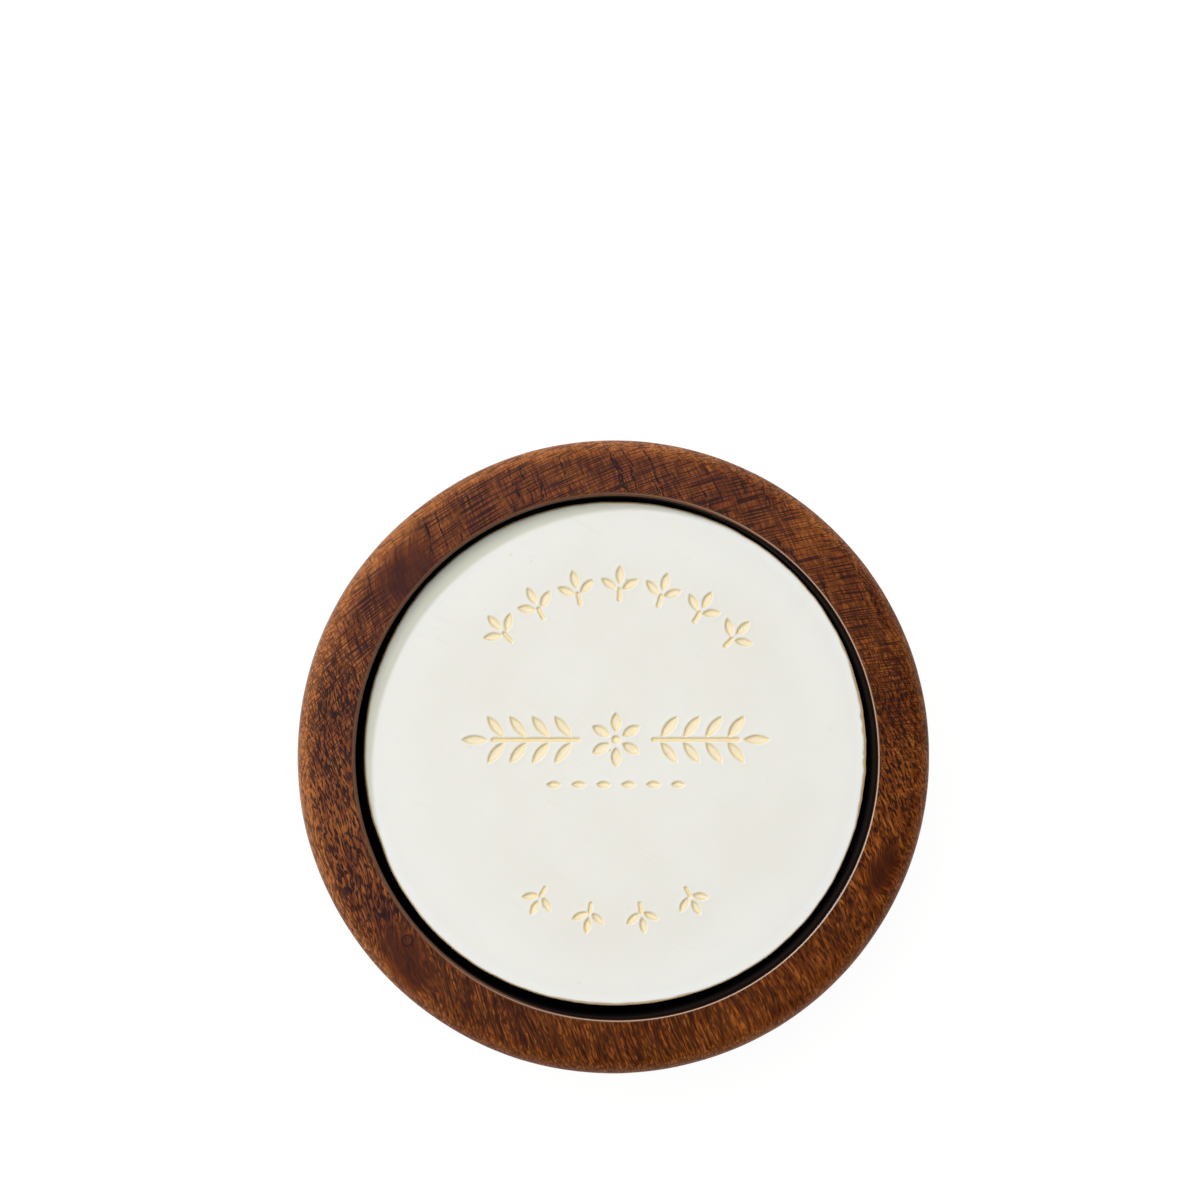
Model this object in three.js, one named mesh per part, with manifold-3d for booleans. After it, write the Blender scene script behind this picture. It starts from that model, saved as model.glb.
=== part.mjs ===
// Shaving soap puck in its turned wooden bowl. Units are millimetres, +Z is up.
// The origin is the centre of the ring that the bowl stands on.

import * as THREE from "three";
import { mergeVertices } from "three/addons/utils/BufferGeometryUtils.js";
import Module from "manifold-3d";

const wasm = await Module();
wasm.setup();

// ---------------------------------------------------------------- driving dimensions

// Bowl
const BOWL_RADIUS = 50;
const BOWL_HEIGHT = 38;
const MOUTH_RADIUS = 41;
const CAVITY_FLOOR_Z = 14;
const CAVITY_FILLET = 1.5; // where the cavity wall meets its floor
const LIP_ROUND = 0.8; // inner edge of the rim
const SHOULDER_ROUND_WIDTH = 3; // outer edge of the rim, across
const SHOULDER_ROUND_HEIGHT = 4; // outer edge of the rim, down
const BELLY_Z = 27; // where the side turns upright
const BELLY_CENTRE_RADIUS = 30; // centre of the side's elliptical sweep
const FOOT_RADIUS = 36;
const FOOT_HEIGHT = 1.6;
const FOOT_CHAMFER = 0.4;
const RECESS_RADIUS = 27; // hollow turned into the underside
const RECESS_DEPTH = 2;
const RECESS_FILLET = 1.2;

// Soap puck
const PUCK_RADIUS = 39.9;
const PUCK_THICKNESS = 19;
const PUCK_TOP_ROUND = 0.5;
const PUCK_BOTTOM_ROUND = 2;
const PUCK_OFFSET_X = 0.25; // the loose puck does not sit quite in the middle
const PUCK_OFFSET_Y = 0.45;
const SEAT_GAP = 0.15; // between the puck and the cavity floor

// Pressed ornament on the soap
const PRESS_DEPTH = 0.5;
const CUTTER_RISE = 1; // how far the cutters stand above the soap
const STEM_WIDTH = 0.7;
const LEAF_GAP = 0.5; // from a stem's middle, or a flower's heart, to each leaf
const EMBLEM_CENTRE_Y = 2.2;
const EMBLEM_STEM_START = 5.6; // from the emblem's centre to each stem
const LONG_SPRIG = { stem: 14.2, pairs: 4, rootShare: 0.35, leaf: 4.2, width: 1.5, lean: 52 };
const SHORT_SPRIG = { stem: 2.3, pairs: 1, rootShare: 0.75, leaf: 3, width: 1.3, lean: 56 };
const TOP_ARC = { radius: 26.9, from: 44.5, to: 133, count: 7, size: 1 };
const BOTTOM_ARC = { radius: 26.3, from: 242, to: 297.5, count: 4, size: 0.88 };
const PETAL_COUNT = 6;
const PETAL_LENGTH = 3.1;
const PETAL_WIDTH = 1.6;
const HEART_RADIUS = 0.7;
const LOZENGE_COUNT = 6;
const LOZENGE_PITCH = 3.95;
const LOZENGE_LENGTH = 2.3;
const LOZENGE_WIDTH = 1.1;
const LOZENGE_ROW_Y = -4.9;

// Smoothness
const LATHE_SEGMENTS = 72;
const ROUND_STEPS = 3; // segments in each small rounded edge
const SWEEP_STEPS = 7; // segments in the bowl's side
const LEAF_STEPS = 5; // segments in each side of a leaf outline
const DISC_STEPS = 10; // segments in a small round mark

// ---------------------------------------------------------------- helpers

// Points of an elliptical arc in the (radius, height) plane, between two angles in degrees.
function arc(centreR, centreZ, radiusR, radiusZ, fromDeg, toDeg, steps) {
  const points = [];
  for (let i = 0; i <= steps; i++) {
    const angle = THREE.MathUtils.degToRad(fromDeg + ((toDeg - fromDeg) * i) / steps);
    points.push(
      new THREE.Vector2(centreR + radiusR * Math.cos(angle), centreZ + radiusZ * Math.sin(angle)),
    );
  }
  return points;
}

// A solid of revolution about Z from (radius, height) points that run up the outside.
function turned(profile) {
  return new THREE.LatheGeometry(profile, LATHE_SEGMENTS).rotateX(Math.PI / 2);
}

// A three.js geometry as a manifold-3d solid.
function toSolid(geometry) {
  const bare = geometry.clone();
  bare.deleteAttribute("normal");
  bare.deleteAttribute("uv");
  const merged = mergeVertices(bare, 1e-4);
  return new wasm.Manifold(
    new wasm.Mesh({
      numProp: 3,
      vertProperties: merged.attributes.position.array,
      triVerts: new Uint32Array(merged.index.array),
    }),
  );
}

// A manifold-3d solid as a three.js geometry with flat-shaded faces.
function toGeometry(solid) {
  const mesh = solid.getMesh();
  const geometry = new THREE.BufferGeometry();
  geometry.setAttribute("position", new THREE.BufferAttribute(mesh.vertProperties, 3));
  geometry.setIndex(new THREE.BufferAttribute(mesh.triVerts, 1));
  const flat = geometry.toNonIndexed();
  flat.computeVertexNormals();
  return flat;
}

// ---------------------------------------------------------------- bowl

function bowlProfile() {
  const sweepRadius = BOWL_RADIUS - BELLY_CENTRE_RADIUS;
  const sweepStart = -THREE.MathUtils.radToDeg(Math.asin((BELLY_Z - FOOT_HEIGHT) / BELLY_Z));
  const shoulderZ = BOWL_HEIGHT - SHOULDER_ROUND_HEIGHT;
  return [
    new THREE.Vector2(0, RECESS_DEPTH),
    ...arc(
      RECESS_RADIUS - RECESS_FILLET,
      RECESS_DEPTH - RECESS_FILLET,
      RECESS_FILLET,
      RECESS_FILLET,
      90,
      0,
      ROUND_STEPS,
    ),
    new THREE.Vector2(RECESS_RADIUS, 0),
    new THREE.Vector2(FOOT_RADIUS - FOOT_CHAMFER, 0),
    new THREE.Vector2(FOOT_RADIUS, FOOT_CHAMFER),
    ...arc(BELLY_CENTRE_RADIUS, BELLY_Z, sweepRadius, BELLY_Z, sweepStart, 0, SWEEP_STEPS),
    ...arc(
      BOWL_RADIUS - SHOULDER_ROUND_WIDTH,
      shoulderZ,
      SHOULDER_ROUND_WIDTH,
      SHOULDER_ROUND_HEIGHT,
      0,
      90,
      2 * ROUND_STEPS,
    ),
    ...arc(
      MOUTH_RADIUS + LIP_ROUND,
      BOWL_HEIGHT - LIP_ROUND,
      LIP_ROUND,
      LIP_ROUND,
      90,
      180,
      ROUND_STEPS,
    ),
    ...arc(
      MOUTH_RADIUS - CAVITY_FILLET,
      CAVITY_FLOOR_Z + CAVITY_FILLET,
      CAVITY_FILLET,
      CAVITY_FILLET,
      0,
      -90,
      ROUND_STEPS,
    ),
    new THREE.Vector2(0, CAVITY_FLOOR_Z),
  ];
}

function makeBowl() {
  const wood = new THREE.MeshStandardMaterial({ color: 0x5f341f, roughness: 0.45, metalness: 0 });
  const bowl = new THREE.Mesh(turned(bowlProfile()), wood);
  bowl.name = "wooden_bowl";
  return bowl;
}

// ---------------------------------------------------------------- pressed ornament

// One edge of a pointed leaf along Y: an arc of a circle from its lower tip to its upper tip.
// The side is +1 for the right-hand edge and -1 for the left-hand edge.
function leafEdge(length, width, side) {
  const halfLength = length / 2;
  const halfWidth = width / 2;
  const radius = (halfLength ** 2 + halfWidth ** 2) / (2 * halfWidth);
  const reach = Math.asin(halfLength / radius);
  const points = [];
  for (let i = 0; i <= LEAF_STEPS; i++) {
    const angle = reach * ((2 * i) / LEAF_STEPS - 1);
    const across = halfWidth - radius * (1 - Math.cos(angle));
    points.push(new THREE.Vector2(side * across, radius * Math.sin(angle)));
  }
  return points;
}

// Outline of a pointed leaf along Y, centred on the origin.
function leafOutline(length, width) {
  const left = leafEdge(length, width, -1).reverse();
  return [...leafEdge(length, width, 1), ...left.slice(1, -1)];
}

// Outline of a straight groove along Y with pointed ends, starting at the origin.
function stemOutline(length, width) {
  const side = width / 2;
  return [
    new THREE.Vector2(0, 0),
    new THREE.Vector2(side, side),
    new THREE.Vector2(side, length - side),
    new THREE.Vector2(0, length),
    new THREE.Vector2(-side, length - side),
    new THREE.Vector2(-side, side),
  ];
}

function discOutline(radius) {
  return new THREE.Path().absarc(0, 0, radius, 0, 2 * Math.PI).getPoints(DISC_STEPS).slice(0, -1);
}

// A move to (x, y) on the soap's face, turned by an angle in degrees.
function placed(x, y, turnDeg) {
  return new THREE.Matrix4().makeRotationZ(THREE.MathUtils.degToRad(turnDeg)).setPosition(x, y, 0);
}

// A solid that presses an outline into the soap's face.
function cutter(outline, place) {
  const settings = { depth: PRESS_DEPTH + CUTTER_RISE, bevelEnabled: false };
  const geometry = new THREE.ExtrudeGeometry(new THREE.Shape(outline), settings);
  geometry.translate(0, 0, PUCK_THICKNESS - PRESS_DEPTH);
  geometry.applyMatrix4(place);
  return toSolid(geometry);
}

// A leaf that grows from near (0, rootY) in a frame, leaning by an angle in degrees from its +Y.
function growingLeaf(frame, rootY, leanDeg, start, length, width) {
  const lean = THREE.MathUtils.degToRad(leanDeg);
  const reach = start + length / 2;
  const x = reach * Math.sin(lean);
  const y = rootY + reach * Math.cos(lean);
  return cutter(leafOutline(length, width), frame.clone().multiply(placed(x, y, -leanDeg)));
}

// A stem along a frame's +Y, with pairs of leaves and one leaf at its tip.
function sprig(frame, { stem, pairs, rootShare, leaf, width, lean }) {
  const marks = [cutter(stemOutline(stem, STEM_WIDTH), frame)];
  marks.push(growingLeaf(frame, stem, 0, LEAF_GAP, leaf, width));
  for (let i = 0; i < pairs; i++) {
    const rootY = (stem * (i + rootShare)) / pairs;
    for (const side of [1, -1]) {
      marks.push(growingLeaf(frame, rootY, side * lean, LEAF_GAP, leaf, width));
    }
  }
  return marks;
}

// Short sprigs along an arc round the puck's middle, tips outwards.
function sprigArc({ radius, from, to, count, size }) {
  const marks = [];
  const height = size * (SHORT_SPRIG.stem + LEAF_GAP + SHORT_SPRIG.leaf);
  for (let i = 0; i < count; i++) {
    const azimuth = from + ((to - from) * i) / (count - 1);
    const frame = placed(0, 0, azimuth - 90);
    frame.multiply(placed(0, radius - height / 2, 0));
    frame.multiply(new THREE.Matrix4().makeScale(size, size, 1));
    marks.push(...sprig(frame, SHORT_SPRIG));
  }
  return marks;
}

// A small flower with a long sprig on each side of it.
function emblem() {
  const heart = placed(0, EMBLEM_CENTRE_Y, 0);
  const marks = [cutter(discOutline(HEART_RADIUS), heart)];
  for (let i = 0; i < PETAL_COUNT; i++) {
    const lean = (360 * i) / PETAL_COUNT;
    const start = HEART_RADIUS + LEAF_GAP;
    marks.push(growingLeaf(heart, 0, lean, start, PETAL_LENGTH, PETAL_WIDTH));
  }
  for (const side of [1, -1]) {
    const frame = placed(side * EMBLEM_STEM_START, EMBLEM_CENTRE_Y, -90 * side);
    marks.push(...sprig(frame, LONG_SPRIG));
  }
  return marks;
}

// A short row of small lozenges under the emblem.
function lozengeRow() {
  const marks = [];
  const lozenge = leafOutline(LOZENGE_LENGTH, LOZENGE_WIDTH);
  for (let i = 0; i < LOZENGE_COUNT; i++) {
    const x = (i - (LOZENGE_COUNT - 1) / 2) * LOZENGE_PITCH;
    marks.push(cutter(lozenge, placed(x, LOZENGE_ROW_Y, 90)));
  }
  return marks;
}

// ---------------------------------------------------------------- soap puck

function puckProfile() {
  return [
    new THREE.Vector2(0, 0),
    ...arc(
      PUCK_RADIUS - PUCK_BOTTOM_ROUND,
      PUCK_BOTTOM_ROUND,
      PUCK_BOTTOM_ROUND,
      PUCK_BOTTOM_ROUND,
      -90,
      0,
      ROUND_STEPS,
    ),
    ...arc(
      PUCK_RADIUS - PUCK_TOP_ROUND,
      PUCK_THICKNESS - PUCK_TOP_ROUND,
      PUCK_TOP_ROUND,
      PUCK_TOP_ROUND,
      0,
      90,
      ROUND_STEPS,
    ),
    new THREE.Vector2(0, PUCK_THICKNESS),
  ];
}

function makePuck() {
  const cutters = [
    ...sprigArc(TOP_ARC),
    ...sprigArc(BOTTOM_ARC),
    ...emblem(),
    ...lozengeRow(),
  ];
  const ornament = cutters.reduce((joined, mark) => joined.add(mark));
  const solid = toSolid(turned(puckProfile())).subtract(ornament);
  const soap = new THREE.MeshStandardMaterial({ color: 0xecebe4, roughness: 0.55, metalness: 0 });
  const puck = new THREE.Mesh(toGeometry(solid), soap);
  puck.name = "soap_puck";
  puck.position.set(PUCK_OFFSET_X, PUCK_OFFSET_Y, CAVITY_FLOOR_Z + SEAT_GAP);
  return puck;
}

const assembly = new THREE.Group();
assembly.add(makeBowl());
assembly.add(makePuck());

export default assembly;
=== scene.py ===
"""Looks of the shaving soap puck in its turned wooden bowl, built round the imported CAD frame.

Lengths are millimetres until a mesh, lamp or camera is made, where MM turns them into metres.
"""

import bisect
import math
from types import SimpleNamespace

import bpy
import numpy as np
from mathutils import Matrix, Vector


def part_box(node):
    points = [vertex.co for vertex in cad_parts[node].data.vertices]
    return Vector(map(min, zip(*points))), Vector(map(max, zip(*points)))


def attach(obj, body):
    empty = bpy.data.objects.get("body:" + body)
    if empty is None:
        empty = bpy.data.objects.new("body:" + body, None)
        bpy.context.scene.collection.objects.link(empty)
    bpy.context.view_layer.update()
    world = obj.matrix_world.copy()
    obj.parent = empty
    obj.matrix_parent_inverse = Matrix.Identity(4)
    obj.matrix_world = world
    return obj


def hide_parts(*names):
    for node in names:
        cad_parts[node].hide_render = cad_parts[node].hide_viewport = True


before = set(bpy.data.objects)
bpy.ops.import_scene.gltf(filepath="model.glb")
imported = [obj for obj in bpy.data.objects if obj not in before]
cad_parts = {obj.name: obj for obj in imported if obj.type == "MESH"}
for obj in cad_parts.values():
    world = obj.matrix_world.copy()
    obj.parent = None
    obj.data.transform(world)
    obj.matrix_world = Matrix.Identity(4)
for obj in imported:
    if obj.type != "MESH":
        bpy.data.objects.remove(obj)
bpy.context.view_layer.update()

MM = 0.001

# ------------------------------------------------------------------ driving dimensions

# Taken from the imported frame
BOWL_LOW, BOWL_HIGH = (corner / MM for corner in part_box("wooden_bowl"))
PUCK_LOW, PUCK_HIGH = (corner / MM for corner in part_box("soap_puck"))
BOWL_RADIUS = BOWL_HIGH.x
BOWL_HEIGHT = BOWL_HIGH.z
PUCK_RADIUS = (PUCK_HIGH.x - PUCK_LOW.x) / 2
PUCK_THICKNESS = PUCK_HIGH.z - PUCK_LOW.z
PUCK_X = (PUCK_HIGH.x + PUCK_LOW.x) / 2
PUCK_Y = (PUCK_HIGH.y + PUCK_LOW.y) / 2

# Bowl, as in the CAD source
MOUTH_RADIUS = 41
CAVITY_FLOOR_Z = 14
CAVITY_FILLET = 1.5
LIP_ROUND = 0.8
SHOULDER_ROUND_WIDTH = 3
SHOULDER_ROUND_HEIGHT = 4
BELLY_Z = 27
BELLY_CENTRE_RADIUS = 30
FOOT_RADIUS = 36
FOOT_HEIGHT = 1.6
FOOT_CHAMFER = 0.4
RECESS_RADIUS = 27
RECESS_DEPTH = 2
RECESS_FILLET = 1.2

# Soap, as in the CAD source
TRIM_ROUND = 0.25
PUCK_BOTTOM_ROUND = 2
PRESS_DEPTH = 0.5
STEM_WIDTH = 0.7
LEAF_GAP = 0.5
EMBLEM_CENTRE_Y = 2.2
EMBLEM_STEM_START = 5.6
LONG_SPRIG = dict(stem=14.2, pairs=4, root_share=0.35, leaf=4.2, width=1.5, lean=52)
SHORT_SPRIG = dict(stem=2.3, pairs=1, root_share=0.75, leaf=3, width=1.3, lean=56)
TOP_ARC = dict(radius=26.9, start=44.5, end=133, count=7, size=1)
BOTTOM_ARC = dict(radius=26.3, start=242, end=297.5, count=4, size=0.88)
PETAL_COUNT = 6
PETAL_LENGTH = 3.1
PETAL_WIDTH = 1.6
HEART_RADIUS = 0.7
LOZENGE_COUNT = 6
LOZENGE_PITCH = 3.95
LOZENGE_LENGTH = 2.3
LOZENGE_WIDTH = 1.1
LOZENGE_ROW_Y = -4.9

# Small specks on the soap's face
SPECK_COUNT = 26
SPECK_SIZES = (0.12, 0.34)
SPECK_SEED = 5

# Wood grain: fibres fan out from one point, growth layers wrap a pith line that runs along the
# fibres under the bowl, and fine saw and sanding lines circle another point
FAN_X, FAN_Y = -187, 464
PITH_DEPTH = 60
RING_X, RING_Y = 56.5, -94.7
KNOT_X, KNOT_Y, KNOT_RADIUS = -32.9, -28.7, 0.85
KNOT_LINE = 0.26
DARK_PATCHES = [  # centre x and y, length, width, turn
    (-33, 29, 14, 9, 50),
    (-33, -31.5, 14, 7.5, -60),
    (42, -18, 9, 5, 60),
]

# Noise cells of the fibres: across them, along them and upward, and how much finer detail
FIBRE_CELLS = dict(
    pores=(0.22, 0.9, 0.35, 0),
    dashes=(0.32, 2, 0.5, 0),
    streaks=(0.21, 9, 0.45, 0),
    flecks=(0.27, 2.4, 0.8, 1),
    clusters=(1.8, 6, 4, 2),
    cracks=(0.8, 12, 3, 0),
)

# Where the edge band, the lip, the lip's pale line and the painted shade of the cavity sit on the
# bowl, as radii
EDGE_BAND_START = BOWL_RADIUS - 3.2
EDGE_BAND_FULL = BOWL_RADIUS - 0.4
LIP_RADIUS = MOUTH_RADIUS + LIP_ROUND
LIP_LINE_RADIUS = MOUTH_RADIUS + 0.48
LIP_LINE_HALF_WIDTH = 0.12
SHADE_EDGE_LEFT_RADIUS = MOUTH_RADIUS + 0.08
SHADE_EDGE_RIGHT_RADIUS = MOUTH_RADIUS + 0.28
LINE_CLIMB = 0.18

# Wood colours; the tones run from dark to light, each with its place on the ramp
WOOD_TONES = [
    (0.05, (0.044, 0.0075, 0.0014)),
    (0.3, (0.102, 0.0215, 0.0032)),
    (0.5, (0.190, 0.0455, 0.0060)),
    (0.7, (0.310, 0.0890, 0.0145)),
    (0.98, (0.500, 0.1720, 0.0380)),
]
PORE_BROWN = (0.020, 0.0045, 0.0018)
# Painted cool sheen: a little blue added to the wood towards the upper-left, the side the key lamp
# comes from.
PAINTED_COOL_SHEEN = (0, 0.006, 0.012)
LIP_BROWN = (0.140, 0.052, 0.020)
# A pale line on the lip: faint all round as wear, strong on the lower-right as a painted highlight.
LIP_WEAR_AND_HIGHLIGHT = (0.60, 0.44, 0.33)
# Painted shade: near-black colours that darken the cavity and the inner half of the lip.
CAVITY_SHADE_HIGH, CAVITY_SHADE_DEEP = (0.007, 0.003, 0.002), (0.005, 0.003, 0.0025)

# Soap colours
SOAP_DULL, SOAP_BRIGHT = (0.845, 0.832, 0.765), (0.860, 0.852, 0.795)
SOAP_PALE = (0.95, 0.955, 0.915)
# Warm colour for the pressed grooves: partly the soap's deeper colour, partly painted shade and warm
# light scattered in them.
GROOVE_TINT_AND_SHADE = (0.88, 0.72, 0.38)
# Tan for the soap's bevel and side: painted shade and brown light bounced from the wood.
EDGE_SHADE_TAN = (0.54, 0.37, 0.17)
SPECK_TAN = (0.62, 0.50, 0.30)
SCRATCH_GREY = (0.72, 0.70, 0.62)

# Camera: it looks at AIM, where the picture is FRAME_WIDTH wide
FRAME_WIDTH = 189.1
AIM = Vector((-2.37, 24.74, 34))
CAMERA_FOOT = Vector((-62.2, 16))
LENS, SENSOR = 150, 36

# Lamps: softboxes LAMP_DISTANCE away, by their direction and size across and along it
LAMP_DISTANCE = 2500
KEY = dict(azimuth=143, zenith=39, across=300, along=225, power=19.5, colour=(0.98, 0.975, 1.27))
OVERHEAD = dict(
    azimuth=141, zenith=21, across=1200, along=1200, power=32.5, colour=(1.005, 1, 0.84)
)
SKY_LOW, SKY_HIGH = 0.5, 0.22


# ------------------------------------------------------------------ meshes from arrays


def smoothstep(low, high, value):
    t = np.clip((value - low) / (high - low), 0, 1)
    return t * t * (3 - 2 * t)


def mesh_object(name, points, faces, attributes=None):
    """A smooth-shaded object from points in mm, with named float attributes on its points."""
    mesh = bpy.data.meshes.new(name)
    mesh.from_pydata([tuple(p) for p in points * MM], [], faces)
    mesh.polygons.foreach_set("use_smooth", [True] * len(mesh.polygons))
    for key, values in (attributes or {}).items():
        layer = mesh.attributes.new(key, "FLOAT", "POINT")
        layer.data.foreach_set("value", values.astype(np.float32))
    mesh.validate()
    mesh.update()
    thing = bpy.data.objects.new(name, mesh)
    bpy.context.scene.collection.objects.link(thing)
    return thing


def value_noise(points, cell, seed):
    """Smooth noise from -1 to 1 at 3-D points in mm; cell is the size of one bump."""
    random = np.random.default_rng(seed)
    table = random.uniform(-1, 1, (32, 32, 32))
    scaled = points / cell
    base = np.floor(scaled).astype(int)
    part = scaled - base
    part = part * part * (3 - 2 * part)
    total = np.zeros(len(points))
    for corner in np.ndindex(2, 2, 2):
        weight = np.prod(np.where(corner, part, 1 - part), axis=1)
        index = (base + corner) % 32
        total += weight * table[index[:, 0], index[:, 1], index[:, 2]]
    return total


def arc(centre_r, centre_z, radius_r, radius_z, start, end, steps):
    """Points of an elliptical arc in the (radius, height) plane, between angles in degrees."""
    angles = np.radians(np.linspace(start, end, steps + 1))
    r = centre_r + radius_r * np.cos(angles)
    z = centre_z + radius_z * np.sin(angles)
    return np.column_stack([r, z])


def line(r0, z0, r1, z1, steps):
    """Points of a straight line in the (radius, height) plane, both ends left out."""
    share = np.linspace(0, 1, steps + 1)[1:-1, None]
    return np.array([[r0, z0]]) + share * np.array([[r1 - r0, z1 - z0]])


# ------------------------------------------------------------------ bowl

BOWL_SEGMENTS = 480


def bowl_profile():
    """The bowl's section from the middle of its underside, up the outside, to the cavity floor."""
    sweep = BOWL_RADIUS - BELLY_CENTRE_RADIUS
    sweep_start = -math.degrees(math.asin((BELLY_Z - FOOT_HEIGHT) / BELLY_Z))
    shoulder_z = BOWL_HEIGHT - SHOULDER_ROUND_HEIGHT
    shoulder_r = BOWL_RADIUS - SHOULDER_ROUND_WIDTH
    lip_r = MOUTH_RADIUS + LIP_ROUND
    lip_z = BOWL_HEIGHT - LIP_ROUND
    floor_r = MOUTH_RADIUS - CAVITY_FILLET
    recess_r = RECESS_RADIUS - RECESS_FILLET
    recess_z = RECESS_DEPTH - RECESS_FILLET
    chamfer_r = FOOT_RADIUS - FOOT_CHAMFER
    return np.concatenate(
        [
            line(0, RECESS_DEPTH, recess_r, RECESS_DEPTH, 10),
            arc(recess_r, recess_z, RECESS_FILLET, RECESS_FILLET, 90, 0, 5),
            arc(RECESS_RADIUS + 0.2, 0.2, 0.2, 0.2, 180, 270, 3),
            line(RECESS_RADIUS + 0.2, 0, chamfer_r, 0, 6),
            arc(chamfer_r, FOOT_CHAMFER, FOOT_CHAMFER, FOOT_CHAMFER, -90, 0, 4),
            line(FOOT_RADIUS, FOOT_CHAMFER, FOOT_RADIUS, FOOT_HEIGHT, 3),
            arc(BELLY_CENTRE_RADIUS, BELLY_Z, sweep, BELLY_Z, sweep_start, 0, 34),
            line(BOWL_RADIUS, BELLY_Z, BOWL_RADIUS, shoulder_z, 8),
            arc(
                shoulder_r,
                shoulder_z,
                SHOULDER_ROUND_WIDTH,
                SHOULDER_ROUND_HEIGHT,
                0,
                90,
                14,
            ),
            line(shoulder_r, BOWL_HEIGHT, lip_r, BOWL_HEIGHT, 12),
            arc(lip_r, lip_z, LIP_ROUND, LIP_ROUND, 90, 180, 10),
            line(MOUTH_RADIUS, lip_z, MOUTH_RADIUS, CAVITY_FLOOR_Z + CAVITY_FILLET, 16),
            arc(
                floor_r,
                CAVITY_FLOOR_Z + CAVITY_FILLET,
                CAVITY_FILLET,
                CAVITY_FILLET,
                0,
                -90,
                6,
            ),
            line(floor_r, CAVITY_FLOOR_Z, 0, CAVITY_FLOOR_Z, 12),
        ]
    )


def lathe(profile, segments, low_z, high_z):
    """Points and faces of a turned solid, closed by one point on the axis at each end."""
    angles = 2 * np.pi * np.arange(segments) / segments
    rings = len(profile)
    r = profile[:, :1]
    x = r * np.cos(angles)
    y = r * np.sin(angles)
    z = np.broadcast_to(profile[:, 1:], x.shape)
    points = np.stack([x, y, z], axis=2).reshape(-1, 3)
    points = np.concatenate([points, [[0, 0, low_z], [0, 0, high_z]]])
    faces = []
    for i in range(segments):
        j = (i + 1) % segments
        faces.append((rings * segments, j, i))
        last = (rings - 1) * segments
        faces.append((rings * segments + 1, last + i, last + j))
        for k in range(rings - 1):
            a = k * segments
            b = a + segments
            faces.append((a + i, a + j, b + j, b + i))
    return points, faces


def make_bowl():
    profile = bowl_profile()
    points, faces = lathe(profile, BOWL_SEGMENTS, RECESS_DEPTH, CAVITY_FLOOR_Z)
    radius = np.hypot(points[:, 0], points[:, 1])
    out = points[:, :2] / np.maximum(radius, 1)[:, None]
    swell = 0.05 * value_noise(points, 14, 1) + 0.02 * value_noise(points, 4, 2)
    away_from_foot = smoothstep(FOOT_HEIGHT, 5, points[:, 2])
    points[:, :2] += out * (swell * away_from_foot)[:, None]
    return mesh_object("bowl_wood", points, faces)


# ------------------------------------------------------------------ pressed ornament
# Each mark is a function from points in the soap's plane to signed distances, inside positive.


def turned_frame(x, y, turn):
    """A move to (x, y) on the soap's face, turned by an angle in degrees."""
    return Matrix.Translation((x, y, 0)) @ Matrix.Rotation(math.radians(turn), 4, "Z")


def local(points, place):
    """Points of the soap's plane in a mark's own frame, and that frame's scale."""
    inverse = np.array(place.inverted())
    moved = points @ inverse[:2, :2].T + inverse[:2, 3]
    return moved, place.to_scale().x


def leaf_mark(place, length, width):
    half_length, half_width = length / 2, width / 2
    radius = (half_length**2 + half_width**2) / (2 * half_width)

    def distance(points):
        p, size = local(points, place)
        across = np.abs(p[:, 0]) + radius - half_width
        along = np.abs(p[:, 1])
        round_side = radius - np.hypot(across, along)
        past_tip = -np.hypot(p[:, 0], along - half_length)
        beyond = along * (radius - half_width) > half_length * across
        return np.where(beyond, past_tip, round_side) * size

    return distance


def stem_mark(place, length):
    half = STEM_WIDTH / 2

    def distance(points):
        p, size = local(points, place)
        nearest = np.clip(p[:, 1], half, length - half)
        return (half - np.hypot(p[:, 0], p[:, 1] - nearest)) * size

    return distance


def disc_mark(place, radius):
    def distance(points):
        p, size = local(points, place)
        return (radius - np.hypot(p[:, 0], p[:, 1])) * size

    return distance


def growing_leaf(place, root_y, lean, start, length, width):
    """A leaf that grows from near (0, root_y) of a frame, leaning away from its +Y."""
    reach = start + length / 2
    x = reach * math.sin(math.radians(lean))
    y = root_y + reach * math.cos(math.radians(lean))
    return leaf_mark(place @ turned_frame(x, y, -lean), length, width)


def sprig(place, stem, pairs, root_share, leaf, width, lean):
    marks = [stem_mark(place, stem), growing_leaf(place, stem, 0, LEAF_GAP, leaf, width)]
    for i in range(pairs):
        root_y = stem * (i + root_share) / pairs
        for side in (1, -1):
            marks.append(growing_leaf(place, root_y, side * lean, LEAF_GAP, leaf, width))
    return marks


def sprig_arc(radius, start, end, count, size):
    marks = []
    height = size * (SHORT_SPRIG["stem"] + LEAF_GAP + SHORT_SPRIG["leaf"])
    for azimuth in np.linspace(start, end, count):
        place = turned_frame(0, 0, azimuth - 90) @ turned_frame(0, radius - height / 2, 0)
        marks += sprig(place @ Matrix.Scale(size, 4), **SHORT_SPRIG)
    return marks


def emblem():
    heart = turned_frame(0, EMBLEM_CENTRE_Y, 0)
    marks = [disc_mark(heart, HEART_RADIUS)]
    for i in range(PETAL_COUNT):
        lean = 360 * i / PETAL_COUNT
        marks.append(
            growing_leaf(heart, 0, lean, HEART_RADIUS + LEAF_GAP, PETAL_LENGTH, PETAL_WIDTH)
        )
    for side in (1, -1):
        place = turned_frame(side * EMBLEM_STEM_START, EMBLEM_CENTRE_Y, -90 * side)
        marks += sprig(place, **LONG_SPRIG)
    return marks


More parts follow.
